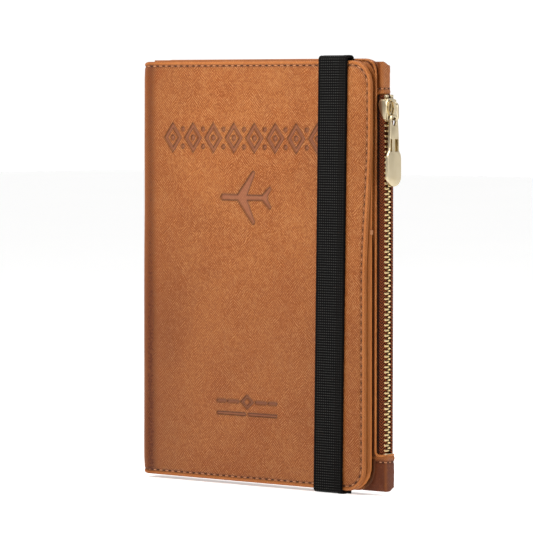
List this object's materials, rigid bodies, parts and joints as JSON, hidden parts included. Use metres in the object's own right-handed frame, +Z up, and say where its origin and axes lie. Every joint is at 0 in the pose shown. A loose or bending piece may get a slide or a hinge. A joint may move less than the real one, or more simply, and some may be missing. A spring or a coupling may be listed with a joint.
{
  "type": "travel document organizer",
  "caption": "Upright bifold organizer for travel papers in grained leather, with a spine fold, a zipped pouch along the fore edge and an elastic band that holds it shut.",
  "frame": {"origin": "bottom centre of the whole box, closed and standing upright", "axes": "+X from the spine to the fore edge with the zip, -Y out of the front cover, +Z up along the spine"},
  "size_m": [0.1118, 0.0104, 0.1472],
  "materials": {
    "tan_leather": "fine pebbled grain, semi-matte",
    "lining_cloth": "matte woven lining",
    "board": "matte stiffener sheet",
    "tan_thread": "waxed thread",
    "black_elastic": "ribbed weave, matte",
    "zip_tape": "brown woven tape",
    "gold_metal": "polished pale gold"
  },
  "bodies": {
    "rear_cover": {"rear_cover_leather": "tan_leather", "rear_cover_thread": "tan_thread", "rear_cover_board": "board", "pouch_lining_rear": "lining_cloth", "pouch_lining_front": "lining_cloth", "pouch_front_leather": "tan_leather", "tab_thread_top": "tan_thread", "tab_thread_bottom": "tan_thread", "passport_sleeve": "tan_leather", "band_end_top": "black_elastic", "band_end_bottom": "black_elastic", "zip_tape_front": "zip_tape", "zip_tape_rear": "zip_tape", "zip_teeth_front": "gold_metal", "zip_teeth_rear": "gold_metal", "zip_top_stop_front": "gold_metal", "zip_top_stop_rear": "gold_metal", "zip_bottom_stop": "gold_metal"},
    "spine": {"spine_leather": "tan_leather", "spine_lining": "lining_cloth"},
    "front_cover": {"front_cover_leather": "tan_leather", "front_cover_board": "board", "front_cover_lining": "lining_cloth", "front_cover_thread": "tan_thread", "side_pocket_panel": "tan_leather", "card_slot_1": "tan_leather", "card_slot_2": "tan_leather", "card_slot_3": "tan_leather", "card_slot_4": "tan_leather", "side_seam_bartack": "tan_thread"},
    "elastic_band": {"elastic_band": "black_elastic"},
    "zip_slider": {"slider_body": "gold_metal", "slider_crown": "gold_metal"},
    "zip_puller": {"zip_puller": "gold_metal"}
  },
  "joints": [
    {"name": "spine_fold", "type": "hinge", "parent": "rear_cover", "child": "spine", "pos_m": [-0.05547, 0.00373, 0.0736], "axis": [0, 0, -1], "range_deg": [0, 90]},
    {"name": "cover_fold", "type": "hinge", "parent": "spine", "child": "front_cover", "pos_m": [-0.05547, -0.00367, 0.0736], "axis": [0, 0, -1], "range_deg": [0, 90]},
    {"name": "band_slip", "type": "slide", "parent": "rear_cover", "child": "elastic_band", "axis": [1, 0, 0], "range_m": [0, 0.024], "stiffness_N_per_m": 40, "deforming": ["elastic_band"]},
    {"name": "zip_slide", "type": "slide", "parent": "rear_cover", "child": "zip_slider", "axis": [0, 0, -1], "range_m": [0, 0.1107]},
    {"name": "puller_swing", "type": "hinge", "parent": "zip_slider", "child": "zip_puller", "pos_m": [0.0545, 0.00168, 0.12687], "axis": [0, -1, 0], "range_deg": [0, 125]}
  ],
  "couplings": [
    {"joint": "cover_fold", "follows": "spine_fold", "ratio": 1}
  ]
}
